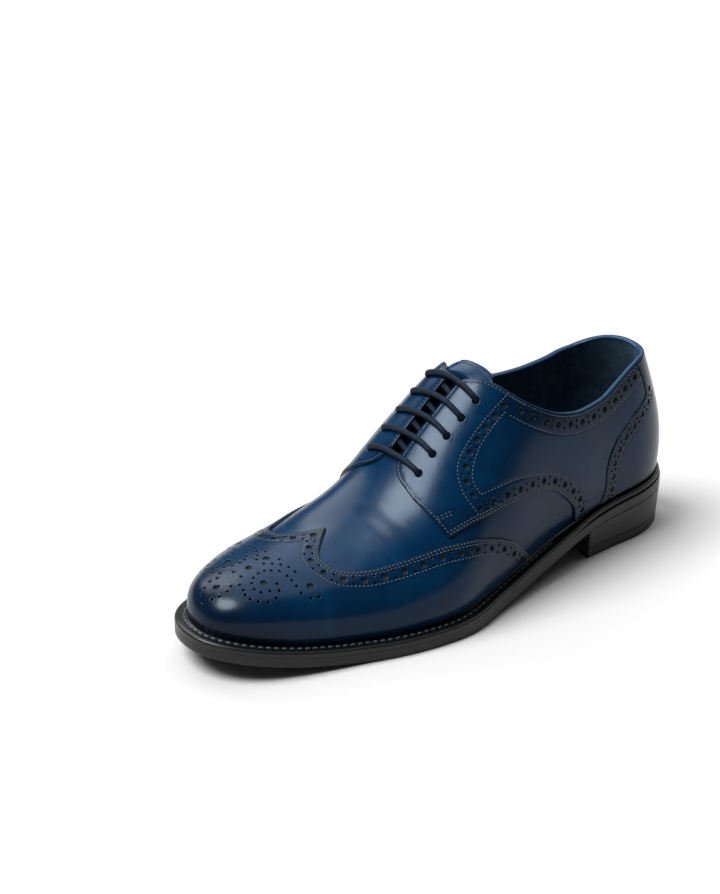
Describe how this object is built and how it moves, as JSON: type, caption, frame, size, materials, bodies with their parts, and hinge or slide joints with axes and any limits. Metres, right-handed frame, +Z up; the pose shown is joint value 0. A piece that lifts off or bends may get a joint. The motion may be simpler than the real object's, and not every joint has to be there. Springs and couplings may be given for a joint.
{
  "type": "wingtip shoe",
  "caption": "Left open-laced wingtip dress shoe of burnished blue leather: hollow upper with tongue, wing cap, facings and heel counter, on a welted sole with a stacked heel.",
  "frame": {"origin": "under the middle of the shoe's box, on the floor it stands on", "axes": "+Z up, the toe points to -Y, the outer (lateral) side of the foot to +X"},
  "size_m": [0.109, 0.2994, 0.1126],
  "materials": {
    "upper_leather": "polished aniline calf, blue, with darker burnished seams and fine creases",
    "burnished_leather": "polished calf, the same blue burnished darker towards toe and heel",
    "lining_leather": "matt dark navy lining",
    "sole_leather": "black edge dressing, satin",
    "heel_rubber": "matt black rubber",
    "waxed_cord": "round braided waxed cord, dark navy"
  },
  "bodies": {
    "root": {"outsole": "sole_leather", "welt": "sole_leather", "heel_stack": "sole_leather", "heel_top_piece": "heel_rubber", "insole": "lining_leather", "upper": "upper_leather", "wing_cap": "burnished_leather", "quarter_lateral": "upper_leather", "quarter_medial": "upper_leather", "heel_counter": "burnished_leather", "tongue": "upper_leather", "lace_bar_1": "waxed_cord", "lace_bar_2": "waxed_cord", "lace_bar_3": "waxed_cord", "lace_bar_4": "waxed_cord", "lace_bar_5": "waxed_cord"}
  },
  "joints": []
}
